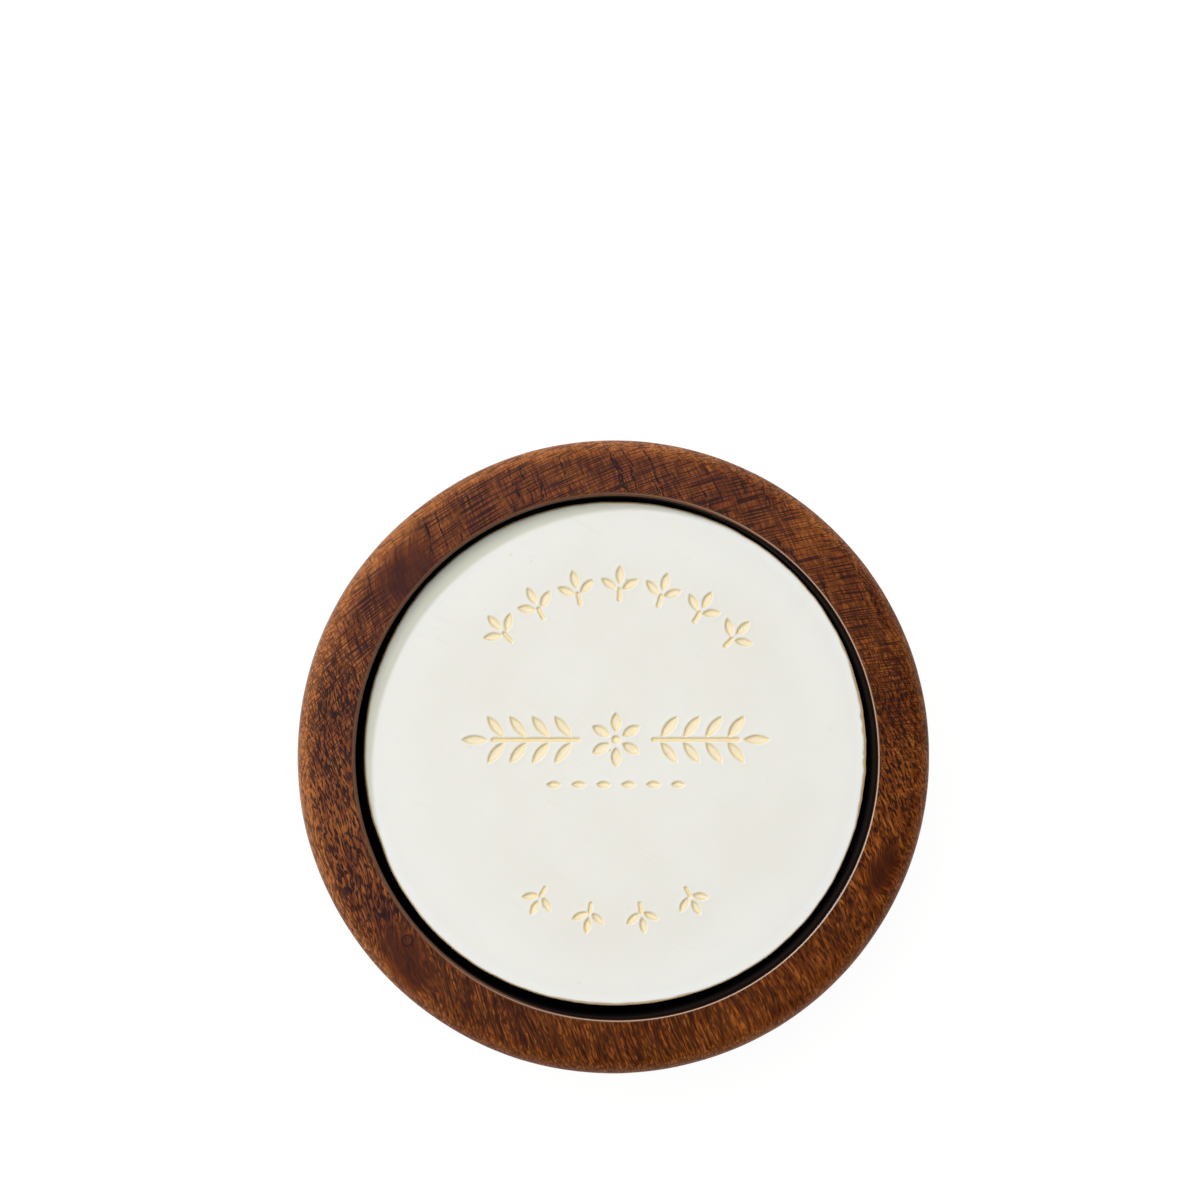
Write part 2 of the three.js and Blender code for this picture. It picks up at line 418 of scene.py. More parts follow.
def lozenge_row():
    marks = []
    for i in range(LOZENGE_COUNT):
        x = (i - (LOZENGE_COUNT - 1) / 2) * LOZENGE_PITCH
        marks.append(
            leaf_mark(turned_frame(x, LOZENGE_ROW_Y, 90), LOZENGE_LENGTH, LOZENGE_WIDTH)
        )
    return marks


def ornament_distance(points):
    """Signed distance in mm from points in the soap's plane to the nearest mark's outline."""
    best = np.full(len(points), -1e3)
    for mark in sprig_arc(**TOP_ARC) + sprig_arc(**BOTTOM_ARC) + emblem() + lozenge_row():
        best = np.maximum(best, mark(points))
    return best


# ------------------------------------------------------------------ soap puck
# The puck's skin is a sheet of (s, t) cells: s is the way along its section, from the middle of
# the top to the middle of the bottom, and t is the way round. Cells are split until they are
# small enough for what they show.

S_STEPS = 1024
T_STEPS = 2048

TOP_LENGTH = PUCK_RADIUS - TRIM_ROUND
TOP_ROUND_LENGTH = TRIM_ROUND * math.pi / 2
SIDE_LENGTH = PUCK_THICKNESS - TRIM_ROUND - PUCK_BOTTOM_ROUND
BOTTOM_ROUND_LENGTH = PUCK_BOTTOM_ROUND * math.pi / 2
BOTTOM_LENGTH = PUCK_RADIUS - PUCK_BOTTOM_ROUND
SIDE_START = TOP_LENGTH + TOP_ROUND_LENGTH
SIDE_END = SIDE_START + SIDE_LENGTH
BOTTOM_START = SIDE_END + BOTTOM_ROUND_LENGTH
SECTION_LENGTH = BOTTOM_START + BOTTOM_LENGTH

FINE_CELL = 0.13
FACE_CELL = 0.75
EDGE_CELL = 0.25
SIDE_CELL = 1
BOTTOM_CELL = 1.5
CELL_GROWTH = 0.7


def section(s):
    """Radius and height of the puck's plain section at a distance s along it."""
    r = np.clip(s, 0, TOP_LENGTH)
    z = np.full(s.shape, float(PUCK_THICKNESS))
    turn = np.clip((s - TOP_LENGTH) / TRIM_ROUND, 0, math.pi / 2)
    r = r + TRIM_ROUND * np.sin(turn)
    z = z - TRIM_ROUND * (1 - np.cos(turn))
    z = z - np.clip(s - SIDE_START, 0, SIDE_LENGTH)
    turn = np.clip((s - SIDE_END) / PUCK_BOTTOM_ROUND, 0, math.pi / 2)
    r = r - PUCK_BOTTOM_ROUND * (1 - np.cos(turn))
    z = z - PUCK_BOTTOM_ROUND * np.sin(turn)
    r = r - np.clip(s - BOTTOM_START, 0, BOTTOM_LENGTH)
    return np.maximum(r, 0), z


def wanted_cell(s, r, t, half):
    """The largest cell size that suits a place on the skin, for a cell of that half diagonal."""
    plan = np.column_stack([r * np.cos(t), r * np.sin(t)])
    off_mark = np.maximum(np.abs(ornament_distance(plan)) - half, 0)
    off_mark = np.maximum(off_mark - 0.08, 0)
    on_face = np.clip(FINE_CELL + CELL_GROWTH * off_mark, FINE_CELL, FACE_CELL)
    off_edge = np.maximum(np.abs(s - TOP_LENGTH) - 0.9 - half, 0)
    near_edge = EDGE_CELL + CELL_GROWTH * off_edge
    size = np.where(s - half < TOP_LENGTH, np.minimum(on_face, near_edge), near_edge)
    size = np.where(s > BOTTOM_START, BOTTOM_CELL, size)
    return np.where((s > TOP_LENGTH) & (s <= BOTTOM_START), np.minimum(size, SIDE_CELL), size)


def split_cells():
    """Cells (s0, s1, t0, t1) in whole steps, split until each is as small as wanted."""
    ds = SECTION_LENGTH / S_STEPS
    dt = 2 * math.pi / T_STEPS
    cells = np.array([[0, S_STEPS, 0, T_STEPS]])
    done = []
    while len(cells):
        s0, s1, t0, t1 = cells.T
        s = (s0 + s1) / 2 * ds
        t = (t0 + t1) / 2 * dt
        r = np.maximum.reduce([section(edge * ds)[0] for edge in (s0, s1, (s0 + s1) / 2)])
        high = (s1 - s0) * ds
        wide = (t1 - t0) * dt * r
        middle_r = section(s)[0]
        half = np.hypot(high, wide) / 2
        size = wanted_cell(s, middle_r, t, half)
        split_s = (high > size) & ((high >= wide) | (t1 - t0 == 1)) & (s1 - s0 > 1)
        split_t = ~split_s & (wide > size) & (t1 - t0 > 1)
        done.append(cells[~split_s & ~split_t])
        along, round_ = cells[split_s], cells[split_t]
        s_mid = (along[:, 0] + along[:, 1]) // 2
        t_mid = (round_[:, 2] + round_[:, 3]) // 2
        cells = np.concatenate(
            [
                np.column_stack([along[:, 0], s_mid, along[:, 2], along[:, 3]]),
                np.column_stack([s_mid, along[:, 1], along[:, 2], along[:, 3]]),
                np.column_stack([round_[:, 0], round_[:, 1], round_[:, 2], t_mid]),
                np.column_stack([round_[:, 0], round_[:, 1], t_mid, round_[:, 3]]),
            ]
        )
    return np.concatenate(done)


def sheet_faces(cells):
    """Corner points (s, t) in whole steps, and faces that take in their neighbours' corners."""
    on_row, on_column = {}, {}
    for s0, s1, t0, t1 in cells.tolist():
        for s in (s0, s1):
            on_row.setdefault(s, set()).update((t0, t1))
        for t in (t0 % T_STEPS, t1 % T_STEPS):
            on_column.setdefault(t, set()).update((s0, s1))
    for s, row in on_row.items():
        if 0 in row or T_STEPS in row:
            row.update((0, T_STEPS))
    rows = {s: sorted(row) for s, row in on_row.items()}
    columns = {t: sorted(column) for t, column in on_column.items()}
    number = {}

    def corner(s, t):
        key = (s, 0 if s in (0, S_STEPS) else t % T_STEPS)
        return number.setdefault(key, len(number))

    def between(ordered, low, high):
        return ordered[bisect.bisect_left(ordered, low) : bisect.bisect_right(ordered, high)]

    faces = []
    for s0, s1, t0, t1 in cells.tolist():
        loop = [corner(s, t0) for s in between(columns[t0 % T_STEPS], s0, s1)]
        loop += [corner(s1, t) for t in between(rows[s1], t0, t1)]
        loop += [corner(s, t1) for s in reversed(between(columns[t1 % T_STEPS], s0, s1))]
        loop += [corner(s0, t) for t in reversed(between(rows[s0], t0, t1))]
        faces.append([v for v, before in zip(loop, loop[-1:] + loop[:-1]) if v != before])
    return np.array(list(number)), faces


def handling_marks(points):
    """How strongly each point of the face lies in one of a few small specks, from 0 to 1."""
    random = np.random.default_rng(SPECK_SEED)
    marks = np.zeros(len(points))
    for _ in range(SPECK_COUNT):
        reach = (PUCK_RADIUS - 3) * math.sqrt(random.uniform(0, 1))
        around = random.uniform(0, 2 * math.pi)
        size = random.uniform(*SPECK_SIZES)
        strength = random.uniform(0.25, 0.9)
        away = np.hypot(
            points[:, 0] - reach * math.cos(around), points[:, 1] - reach * math.sin(around)
        )
        marks = np.maximum(marks, strength * smoothstep(size, 0.4 * size, away))
    return marks


def bump_at(angle, centre, width):
    """A smooth bump round a given azimuth, in degrees."""
    away = (np.degrees(angle) - centre + 180) % 360 - 180
    return np.exp(-((away / width) ** 2))


def make_puck():
    steps, faces = sheet_faces(split_cells())
    s = steps[:, 0] * SECTION_LENGTH / S_STEPS
    t = steps[:, 1] * 2 * math.pi / T_STEPS
    r, z = section(s)
    flat = np.column_stack([r * np.cos(t), r * np.sin(t)])
    where = np.column_stack([flat, z])
    on_top = smoothstep(TOP_LENGTH + 0.2, TOP_LENGTH - 0.2, s)

    # the knife-trimmed outline: four long shallow flats, small bumps and a few chips
    rim = np.column_stack([30 * np.cos(t), 30 * np.sin(t), 0 * t])
    outline = 0.15 - 0.17 * np.cos(4 * t)
    outline += 0.06 * value_noise(rim, 9, 11) + 0.05 * value_noise(rim, 2.2, 12)
    outline += 0.03 * value_noise(rim, 0.8, 13)
    outline -= 0.24 * bump_at(t, 201, 4) + 0.08 * bump_at(t, 258, 6)
    crumbs = bump_at(t, 2, 11)
    outline += crumbs * 0.1 * value_noise(rim, 1.1, 14)
    edge_share = smoothstep(PUCK_RADIUS - 5, PUCK_RADIUS - 0.3, r)
    below = smoothstep(PUCK_THICKNESS, PUCK_BOTTOM_ROUND, z)
    r = r + edge_share * outline * (1 - 0.6 * below)

    # the pressed face: round-bottomed ornament with lifted edges, and a slightly uneven face
    distance = ornament_distance(flat)
    pressed = smoothstep(-0.12, 0.4, distance) * on_top
    lifted = np.exp(-(((distance + 0.24) / 0.16) ** 2)) * on_top
    z = z - PRESS_DEPTH * pressed + 0.03 * lifted
    uneven = 0.05 * value_noise(where, 11, 21) + 0.015 * value_noise(where, 3.5, 22)
    z = z + on_top * uneven

    # a scraped bevel, widest on the lower and right-hand side
    from_edge = PUCK_RADIUS - np.hypot(flat[:, 0], flat[:, 1])
    bevel = 0.05 + 0.38 * bump_at(t, 272, 26) + 0.44 * bump_at(t, 5, 30)
    bevel += 0.07 * value_noise(rim, 1.6, 23)
    bevel += crumbs * 0.25 * np.abs(value_noise(rim, 0.9, 24))
    into_bevel = np.clip(bevel - from_edge, 0, None)
    z = z - on_top * 0.7 * into_bevel
    # Painted shade: the bevel and the whole side get a tan colour that stands for shade and brown
    # light bounced from the wood.
    edge_and_side_shade = smoothstep(-0.08, 0.1, bevel - from_edge)
    edge_and_side_shade = np.maximum(edge_and_side_shade, smoothstep(TOP_LENGTH, TOP_LENGTH + 0.1, s))

    specks = handling_marks(flat)
    z = z - on_top * 0.06 * specks
    pale = (0.6 * smoothstep(12, 1, from_edge) + 0.4 * smoothstep(2, 0.8, from_edge)) * on_top

    points = np.column_stack([r * np.cos(t) + PUCK_X, r * np.sin(t) + PUCK_Y, z + PUCK_LOW.z])
    attributes = {"press": pressed, "edge_and_side_shade": edge_and_side_shade, "pale": pale, "speck": specks * on_top}
    return mesh_object("soap_body", points, faces, attributes)


# ------------------------------------------------------------------ shader graphs


class Graph:
    """Short calls that add and link the nodes of one material."""

    def __init__(self, name):
        self.material = bpy.data.materials.new(name)
        self.material.use_nodes = True
        self.nodes = self.material.node_tree.nodes
        self.links = self.material.node_tree.links
        self.shader = self.nodes["Principled BSDF"]

    def put(self, socket, value):
        if isinstance(value, bpy.types.NodeSocket):
            self.links.new(value, socket)
        else:
            socket.default_value = value

    def math(self, operation, *values, clamp=False):
        node = self.nodes.new("ShaderNodeMath")
        node.operation = operation
        node.use_clamp = clamp
        for socket, value in zip(node.inputs, values):
            self.put(socket, value)
        return node.outputs[0]

    def position(self):
        """X, Y and Z on the object, in mm."""
        place = self.nodes.new("ShaderNodeTexCoord").outputs["Object"]
        split = self.nodes.new("ShaderNodeSeparateXYZ")
        self.links.new(place, split.inputs[0])
        return [self.math("MULTIPLY", axis, 1 / MM) for axis in split.outputs]

    def point(self, x, y, z):
        node = self.nodes.new("ShaderNodeCombineXYZ")
        for socket, value in zip(node.inputs, (x, y, z)):
            self.put(socket, value)
        return node.outputs[0]

    def divided(self, parts, sizes):
        """A point whose parts are each counted in cells of their own size."""
        return self.point(*(self.math("DIVIDE", p, size) for p, size in zip(parts, sizes)))

    def length(self, x, y):
        squares = self.math("ADD", self.math("POWER", x, 2), self.math("POWER", y, 2))
        return self.math("SQRT", squares)

    def spot(self, x, y, centre_x, centre_y, length, width, turn):
        """1 in the middle of a soft oval with its length turned by an angle, 0 outside it."""
        dx = self.math("SUBTRACT", x, centre_x)
        dy = self.math("SUBTRACT", y, centre_y)
        c, s = math.cos(math.radians(turn)), math.sin(math.radians(turn))
        along = self.math("ADD", self.math("MULTIPLY", dx, c), self.math("MULTIPLY", dy, s))
        across = self.math("SUBTRACT", self.math("MULTIPLY", dy, c), self.math("MULTIPLY", dx, s))
        along = self.math("DIVIDE", along, length / 2)
        across = self.math("DIVIDE", across, width / 2)
        return self.spread(self.length(along, across), 1.15, 0.35)

    def ring(self, x, y, centre_x, centre_y, radius, width):
        """1 on a thin circle, 0 away from it."""
        dx = self.math("SUBTRACT", x, centre_x)
        dy = self.math("SUBTRACT", y, centre_y)
        off = self.math("ABSOLUTE", self.math("SUBTRACT", self.length(dx, dy), radius))
        return self.spread(off, width, 0)

    def weighted(self, parts):
        """0.5 plus each part's weight times its distance from 0.5."""
        total = 0.5
        for value, weight in parts:
            offset = self.math("SUBTRACT", value, 0.5)
            total = self.math("ADD", total, self.math("MULTIPLY", offset, weight))
        return total

    def noise(self, vector, detail=2, roughness=0.5):
        node = self.nodes.new("ShaderNodeTexNoise")
        self.put(node.inputs["Vector"], vector)
        node.inputs["Scale"].default_value = 1
        node.inputs["Detail"].default_value = detail
        node.inputs["Roughness"].default_value = roughness
        return node.outputs["Fac"]

    def spread(self, value, low, high, to_low=0.0, to_high=1.0):
        """Maps low..high smoothly to to_low..to_high."""
        node = self.nodes.new("ShaderNodeMapRange")
        node.interpolation_type = "SMOOTHSTEP"
        for key, number in (
            ("From Min", low),
            ("From Max", high),
            ("To Min", to_low),
            ("To Max", to_high),
        ):
            self.put(node.inputs[key], number)
        self.put(node.inputs["Value"], value)
        return node.outputs[0]

    def ramp(self, factor, stops):
        node = self.nodes.new("ShaderNodeValToRGB")
        self.put(node.inputs[0], factor)
        elements = node.color_ramp.elements
        while len(elements) < len(stops):
            elements.new(0.5)
        for element, (place, colour) in zip(elements, stops):
            element.position = place
            element.color = (*colour, 1)
        return node.outputs[0]

    def blend(self, factor, first, second, mode="MIX"):
        node = self.nodes.new("ShaderNodeMix")
        node.data_type = "RGBA"
        node.blend_type = mode
        self.put(node.inputs["Factor"], factor)
        for socket, value in ((node.inputs[6], first), (node.inputs[7], second)):
            self.put(socket, value if isinstance(value, bpy.types.NodeSocket) else (*value, 1))
        return node.outputs[2]

    def attribute(self, name):
        node = self.nodes.new("ShaderNodeAttribute")
        node.attribute_name = name
        return node.outputs["Fac"]

    def bump(self, height, depth_mm):
        """Bump whose full height is depth_mm."""
        node = self.nodes.new("ShaderNodeBump")
        node.inputs["Strength"].default_value = 1
        node.inputs["Distance"].default_value = depth_mm * MM
        self.put(node.inputs["Height"], height)
        self.links.new(node.outputs[0], self.shader.inputs["Normal"])


def wood_places(g):
    """Where a point lies on the bowl: ways across it in mm, and masks from 0 to 1."""
    at = SimpleNamespace()
    at.x, at.y, at.z = g.position()
    at.radius = g.length(at.x, at.y)
    at.upper_left = g.math(
        "SUBTRACT", g.math("MULTIPLY", at.y, 0.7), g.math("MULTIPLY", at.x, 0.7)
    )
    at.lower_right = g.math(
        "SUBTRACT", g.math("MULTIPLY", at.x, 0.9), g.math("MULTIPLY", at.y, 0.42)
    )
    at.above_floor = g.spread(at.z, CAVITY_FLOOR_Z - 1.5, CAVITY_FLOOR_Z - 0.5)
    at.on_wall = g.spread(at.z, BOWL_HEIGHT - 1.5, BOWL_HEIGHT - 5)
    at.near_top = g.spread(at.z, BELLY_Z, BOWL_HEIGHT - 3)
    at.at_edge = g.math(
        "MULTIPLY",
        g.spread(at.radius, EDGE_BAND_START, EDGE_BAND_FULL),
        g.spread(at.near_top, 0, 1, 0.15, 1),
    )
    at.on_lip = g.math(
        "MULTIPLY", g.spread(at.radius, LIP_RADIUS, LIP_RADIUS - 0.2), at.above_floor
    )

    # dark smooth patches: the grain fades inside them and bends round them
    calm = 0
    for patch in DARK_PATCHES:
        calm = g.math("MAXIMUM", g.spot(at.x, at.y, *patch), calm)
    at.calm = g.math("MULTIPLY", calm, at.near_top)
    vivid = g.math("SUBTRACT", 1, g.math("MULTIPLY", at.calm, 0.6))
    at.vivid = g.math("SUBTRACT", vivid, g.math("MULTIPLY", at.at_edge, 0.25), clamp=True)
    return at


def wood_noises(g, at):
    """The grain's noises: along the fan of fibres, out from the pith, and along fine lines."""
    wander = g.noise(g.divided((at.x, at.y, at.z), (12, 12, 12)), 2, 0.5)
    wander = g.math("MULTIPLY", g.math("SUBTRACT", wander, 0.5), 2.2)
    wander = g.math("ADD", wander, at.calm)

    dx = g.math("SUBTRACT", at.x, FAN_X)
    dy = g.math("SUBTRACT", FAN_Y, at.y)
    fan_along = g.length(dx, dy)
    fan_turn = g.math("SUBTRACT", g.math("ARCTAN2", dx, dy), math.atan2(-FAN_X, FAN_Y))
    fan_across = g.math("MULTIPLY", fan_turn, math.hypot(FAN_X, FAN_Y))
    fan_across = g.math("ADD", fan_across, wander)
    from_pith = g.length(fan_across, g.math("ADD", at.z, PITH_DEPTH))
    ex = g.math("SUBTRACT", at.x, RING_X)
    ey = g.math("SUBTRACT", at.y, RING_Y)
    ring_across = g.math("ADD", g.length(ex, ey), g.math("MULTIPLY", wander, 0.12))
    ring_along = g.math("MULTIPLY", g.math("ARCTAN2", ex, ey), 130)

    noises = SimpleNamespace()
    for name, (across, along, height, detail) in FIBRE_CELLS.items():
        place = g.divided((fan_across, fan_along, at.z), (across, along, height))
        setattr(noises, name, g.noise(place, detail))
    noises.lines = g.noise(g.divided((ring_across, ring_along, at.z), (0.18, 6, 0.5)), 0)
    noises.growth = g.noise(g.divided((from_pith, fan_along, 0), (1.1, 60, 1)), 2, 0.6)
    noises.patches = g.noise(g.divided((at.x, at.y, at.z), (10, 10, 10)), 2, 0.5)
    return noises


def wood_tone(g, at, noises):
    """How light the brown between the pores is: layered on the sides, lighter towards the left and
    darker towards the bottom, and lighter at the edge, as wear all round and as painted light on the
    upper-left.
    """
    fleck_share = g.math("MULTIPLY", g.spread(at.y, 5, -30, 0.85, 1.2), at.vivid)
    fleck_share = g.math("MULTIPLY", g.spread(at.on_wall, 0, 1, 1, 0.5), fleck_share)
    tone = g.weighted(
        [
            (noises.flecks, fleck_share),
            (noises.clusters, 0.4),
            (noises.patches, 0.45),
            (noises.growth, g.spread(at.on_wall, 0, 1, 0.15, 1.1)),
        ]
    )
    tone = g.math("SUBTRACT", tone, g.math("MULTIPLY", at.calm, 0.33))
    tone = g.math("ADD", tone, g.spread(at.x, -12, -42, 0, 0.08))
    tone = g.math("SUBTRACT", tone, g.spread(at.y, -10, -32, 0, 0.07))
    # Painted light: the edge band is lighter, a little all round as wear and more on the upper-left,
    # where the lamp falls.
    edge_wear_and_light = g.math("MULTIPLY", at.at_edge, g.spread(at.upper_left, -40, 45, 0.18, 0.38))
    return g.math("ADD", tone, edge_wear_and_light, clamp=True)


def wood_darkness(g, at, noises):
    """How dark the pores, streaks, fine lines, cracks and knot make the wood, from 0 to 1."""
    fine_share = g.spread(at.on_wall, 0, 1, 1, 0.45)
    near_side = g.math(
        "MULTIPLY", g.spread(at.y, 0, -32, 0.15, 0.8), g.spread(at.x, 12, 32, 1, 0.4)
    )
    short = g.math("MULTIPLY", g.spread(at.y, 8, 32, 1, 0.4), g.spread(at.y, -24, -38, 1, 0.75))
    short = g.math("MULTIPLY", short, g.spread(at.upper_left, -34, -44, 1, 0.85))
    short = g.math("MULTIPLY", short, fine_share)
    layers = [  # noise, where it starts and ends to darken, and its share at each place
        (noises.pores, 0.52, 0.38, short),
        (noises.dashes, 0.45, 0.34, g.math("MULTIPLY", g.spread(at.x, 20, -42, 0.6, 0.95), short)),
        (noises.streaks, 0.52, 0.38, g.math("MAXIMUM", near_side, at.on_wall)),
        (
            noises.lines,
            0.53,
            0.40,
            g.math("MULTIPLY", g.spread(at.y, -22, 14, 0.05, 0.9), fine_share),
        ),
    ]
    dark = 0
    for noise, light_end, dark_end, share in layers:
        layer = g.math("MULTIPLY", g.spread(noise, light_end, dark_end), share)
        dark = g.math("MAXIMUM", layer, dark)
    crack = g.math("MULTIPLY", g.spread(noises.cracks, 0.36, 0.3), g.spread(noises.pores, 0.58, 0.46))
    crack = g.math("MULTIPLY", crack, g.spread(at.y, -35, 15, 0.4, 1))
    knot = g.ring(at.x, at.y, KNOT_X, KNOT_Y, KNOT_RADIUS, KNOT_LINE)
    knot = g.math("MULTIPLY", knot, at.near_top)
    return g.math("MAXIMUM", g.math("MULTIPLY", g.math("MAXIMUM", dark, crack), at.vivid), knot)


def wood_mouth(g, at, colour):
    """The wood's colour with its smooth lip, a pale lip line that is faint wear all round and a
    painted highlight on the lower-right, and painted shade that darkens the cavity.
    """
    colour = g.blend(g.math("MULTIPLY", at.on_lip, 0.8), colour, LIP_BROWN)
    climb = g.spread(at.upper_left, -26, -41, 0, LINE_CLIMB)
    from_line = g.math("SUBTRACT", at.radius, g.math("ADD", climb, LIP_LINE_RADIUS))
    # Painted highlight: the pale lip line is faint all round as wear and strong on the lower-right.
    lip_line_wear_and_highlight = g.spread(g.math("ABSOLUTE", from_line), LIP_LINE_HALF_WIDTH, 0)
    lip_line_wear_and_highlight = g.math("MULTIPLY", lip_line_wear_and_highlight, at.above_floor)
    lip_line_wear_and_highlight = g.math("MULTIPLY", lip_line_wear_and_highlight, g.spread(at.lower_right, -25, 22, 0.1, 0.95))
    colour = g.blend(lip_line_wear_and_highlight, colour, LIP_WEAR_AND_HIGHLIGHT)
    # Painted shade: the cavity and the inner half of the lip are darkened to near black, reaching
    # further out on the lower-right.
    shade_edge_radius = g.spread(at.lower_right, -5, 15, SHADE_EDGE_LEFT_RADIUS, SHADE_EDGE_RIGHT_RADIUS)
    above_edge = g.math("SUBTRACT", at.radius, g.math("ADD", climb, shade_edge_radius))
    in_cavity = g.math("MULTIPLY", g.spread(above_edge, 0.1, 0), at.above_floor)
    cavity_shade = g.blend(
        g.spread(at.z, BOWL_HEIGHT - LIP_ROUND, BOWL_HEIGHT - 3), CAVITY_SHADE_HIGH, CAVITY_SHADE_DEEP
    )
    return g.blend(in_cavity, colour, cavity_shade), in_cavity


def wood_material():
    g = Graph("dark_stained_wood")
    at = wood_places(g)
    noises = wood_noises(g, at)
    tone = wood_tone(g, at, noises)
    dark = wood_darkness(g, at, noises)
    colour = g.blend(g.math("MULTIPLY", dark, 0.95), g.ramp(tone, WOOD_TONES), PORE_BROWN)
    # Painted cool sheen: blue added towards the upper-left, where the key lamp's light falls.
    colour = g.blend(g.spread(at.upper_left, -42, 42), colour, PAINTED_COOL_SHEEN, "ADD")
    colour, in_cavity = wood_mouth(g, at, colour)
    g.put(g.shader.inputs["Base Color"], colour)

    # clear finish: glossy on the lip, thinner on the sides, worn off the flat rim
    on_side = g.spread(at.z, BOWL_HEIGHT - 2.5, BOWL_HEIGHT - 6, 0, 0.2)
    finish = g.math("MAXIMUM", g.math("MULTIPLY", at.on_lip, 0.6), on_side)
    finish = g.math("MULTIPLY", finish, g.math("SUBTRACT", 1, in_cavity))
    g.put(g.shader.inputs["Coat Weight"], finish)
    g.shader.inputs["Coat Roughness"].default_value = 0.22

    roughness = g.math("MAXIMUM", g.spread(dark, 0, 1, 0.42, 0.6), in_cavity)
    g.put(g.shader.inputs["Roughness"], roughness)
    relief = g.math("SUBTRACT", g.math("MULTIPLY", tone, 0.4), g.math("MULTIPLY", dark, 0.6))
    g.bump(g.math("MULTIPLY", relief, g.math("SUBTRACT", 1, at.on_lip)), 0.03)
    g.shader.inputs["Specular IOR Level"].default_value = 0.06
    return g.material


def soap_material():
    g = Graph("hard_soap")
    x, y, z = g.position()
    cloud = g.noise(g.divided((x, y, z), (14, 14, 14)), 3, 0.5)
    grain = g.noise(g.divided((x, y, z), (0.5, 0.5, 0.5)), 3, 0.6)
    colour = g.blend(g.spread(cloud, 0.35, 0.65), SOAP_DULL, SOAP_BRIGHT)
    colour = g.blend(g.attribute("pale"), colour, SOAP_PALE)
    press = g.attribute("press")
    # Groove colour, strongest on the walls: partly a deeper soap colour, partly painted shade and
    # warm scattered light.
    groove_tint_and_shade = g.math("MULTIPLY", g.spread(press, 0.02, 0.4), g.spread(press, 0.6, 1, 0.9, 0.5))
    colour = g.blend(groove_tint_and_shade, colour, GROOVE_TINT_AND_SHADE)
    # Painted shade on the bevel and the side, in tan.
    colour = g.blend(g.math("MULTIPLY", g.attribute("edge_and_side_shade"), 0.9), colour, EDGE_SHADE_TAN)
    colour = g.blend(g.attribute("speck"), colour, SPECK_TAN)
    across = g.math("ADD", g.math("MULTIPLY", x, 0.5), g.math("MULTIPLY", y, 0.87))
    along = g.math("SUBTRACT", g.math("MULTIPLY", y, 0.5), g.math("MULTIPLY", x, 0.87))
    scratches = g.spread(g.noise(g.divided((across, along, z), (0.3, 9, 5)), 0), 0.78, 0.83)
    colour = g.blend(g.math("MULTIPLY", scratches, 0.18), colour, SCRATCH_GREY)
    g.put(g.shader.inputs["Base Color"], colour)
    g.put(g.shader.inputs["Roughness"], g.spread(grain, 0.3, 0.7, 0.5, 0.62))
    g.bump(g.math("ADD", g.math("MULTIPLY", grain, 0.3), cloud), 0.02)
    g.shader.inputs["Specular IOR Level"].default_value = 0.2
    g.shader.inputs["Subsurface Weight"].default_value = 0.15
    g.shader.inputs["Subsurface Radius"].default_value = (1.0, 0.8, 0.5)
    g.shader.inputs["Subsurface Scale"].default_value = 0.35 * MM
    return g.material


def floor_material():
    g = Graph("pale_floor")
    x, y, z = g.position()
    cloud = g.noise(g.divided((x, y, z), (60, 60, 60)), 2, 0.5)
    colour = g.blend(cloud, (0.12, 0.12, 0.12), (0.13, 0.13, 0.13))
    g.put(g.shader.inputs["Base Color"], colour)
    g.shader.inputs["Emission Color"].default_value = (1, 1, 1, 1)
    g.shader.inputs["Emission Strength"].default_value = 0.95
    g.shader.inputs["Roughness"].default_value = 0.9
    g.shader.inputs["Specular IOR Level"].default_value = 0.0
    return g.material


# ------------------------------------------------------------------ stage


def make_floor():
    half = 4000
    points = np.array([[-half, -half, 0], [half, -half, 0], [half, half, 0], [-half, half, 0]])
    floor = mesh_object("floor", points.astype(float), [(0, 1, 2, 3)])
    floor.data.materials.append(floor_material())


def aimed(thing, place, target, up):
    """Puts a lamp or camera at a place, looking at a target, with an up direction."""
    back = (place - target).normalized()
    side = up.cross(back).normalized()
    rotation = Matrix((side, back.cross(side), back)).transposed()
    thing.matrix_world = Matrix.Translation(place * MM) @ rotation.to_4x4()


def make_camera():
    data = bpy.data.cameras.new("camera")
    data.lens = LENS
    data.sensor_width = SENSOR
    data.clip_start = 0.01
    data.clip_end = 100
    camera = bpy.data.objects.new("camera", data)
    bpy.context.scene.collection.objects.link(camera)
    distance = FRAME_WIDTH * LENS / SENSOR
    place = Vector((CAMERA_FOOT.x, CAMERA_FOOT.y, AIM.z + distance))
    aimed(camera, place, AIM, Vector((0, 1, 0)))
    bpy.context.scene.camera = camera


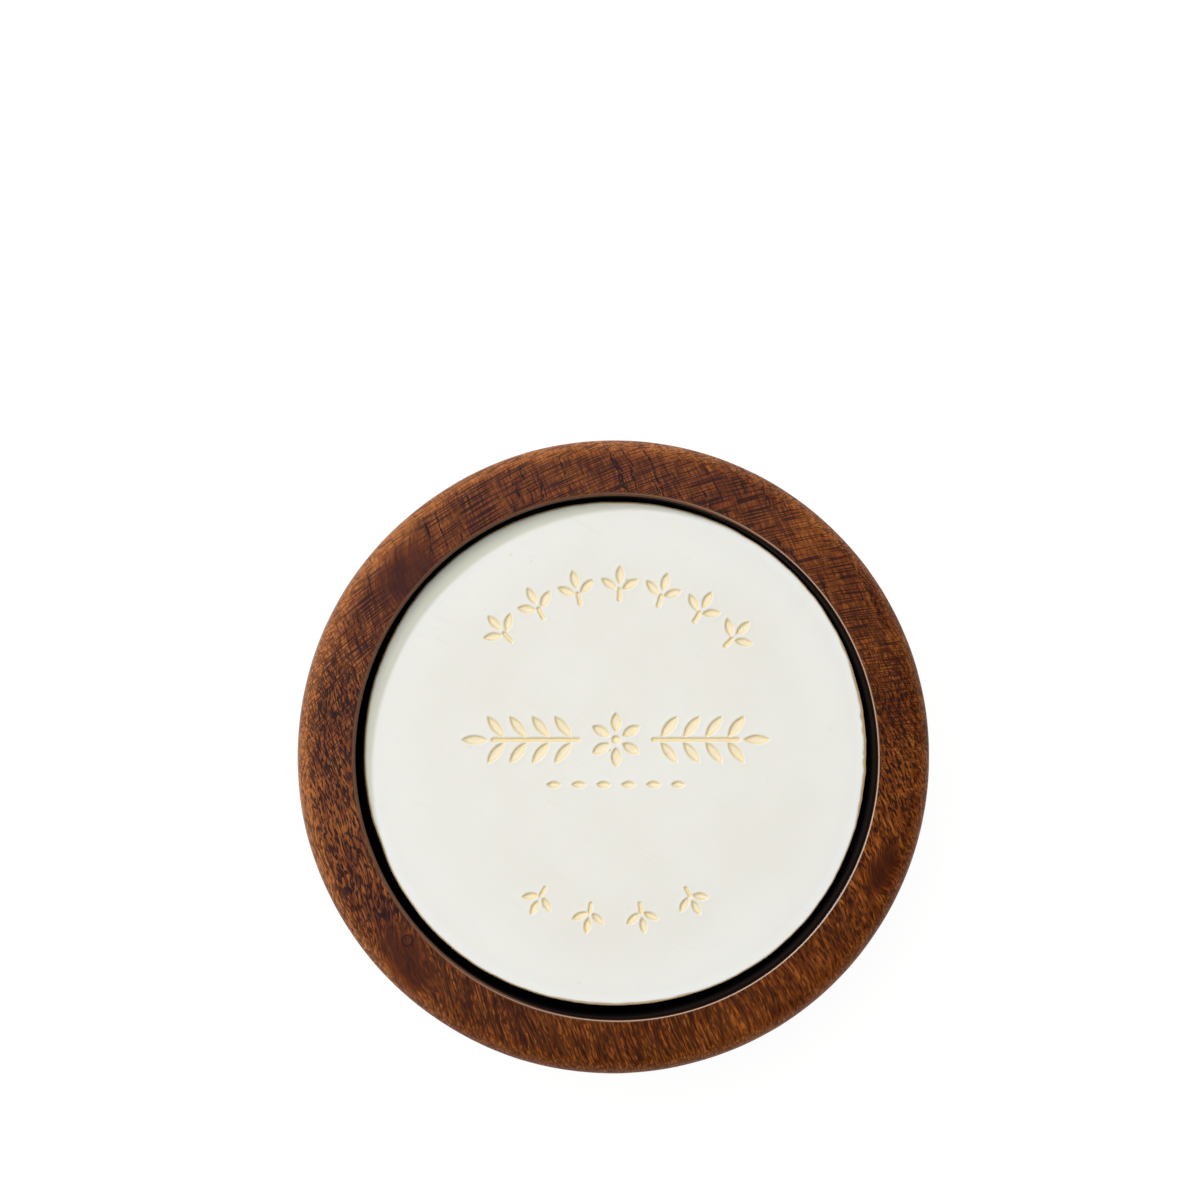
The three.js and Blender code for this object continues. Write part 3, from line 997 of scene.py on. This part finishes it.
def make_softbox(name, shape, azimuth, zenith, across, along, power, colour):
    """A soft lamp that shines on the soap from a direction given in degrees."""
    data = bpy.data.lights.new(name, "AREA")
    data.shape = shape
    data.size = across * MM
    data.size_y = along * MM
    data.energy = power
    data.color = colour
    lamp = bpy.data.objects.new(name, data)
    bpy.context.scene.collection.objects.link(lamp)
    around, down = math.radians(azimuth), math.radians(zenith)
    ahead = Vector((math.cos(around), math.sin(around), 0))
    aim = ahead * math.sin(down) + Vector((0, 0, math.cos(down)))
    target = Vector((0, 0, PUCK_HIGH.z))
    aimed(lamp, target + aim * LAMP_DISTANCE, target, Vector((0, 0, 1)))


def make_sky():
    """Pale surroundings: brighter near the horizon, and plain white where the camera sees them."""
    world = bpy.data.worlds.new("studio")
    world.use_nodes = True
    bpy.context.scene.world = world
    nodes, links = world.node_tree.nodes, world.node_tree.links
    place = nodes.new("ShaderNodeTexCoord")
    split = nodes.new("ShaderNodeSeparateXYZ")
    shade = nodes.new("ShaderNodeMapRange")
    shade.interpolation_type = "SMOOTHSTEP"
    links.new(place.outputs["Generated"], split.inputs[0])
    links.new(split.outputs[2], shade.inputs["Value"])
    shade.inputs["From Min"].default_value = 0.34
    shade.inputs["From Max"].default_value = 0.57
    shade.inputs["To Min"].default_value = SKY_LOW
    shade.inputs["To Max"].default_value = SKY_HIGH
    seen = nodes.new("ShaderNodeLightPath")
    mix = nodes.new("ShaderNodeMix")
    links.new(seen.outputs["Is Camera Ray"], mix.inputs["Factor"])
    links.new(shade.outputs[0], mix.inputs["A"])
    mix.inputs["B"].default_value = 1
    background = nodes["Background"]
    background.inputs["Color"].default_value = (1, 1, 1, 1)
    links.new(mix.outputs[0], background.inputs["Strength"])


bpy.context.scene.view_settings.view_transform = "Standard"
make_camera()
make_softbox("key", "RECTANGLE", **KEY)
make_softbox("overhead", "ELLIPSE", **OVERHEAD)
make_sky()
make_floor()

bowl = make_bowl()
bowl.data.materials.append(wood_material())
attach(bowl, "bowl")
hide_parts("wooden_bowl")

puck = make_puck()
puck.data.materials.append(soap_material())
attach(puck, "puck")
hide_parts("soap_puck")
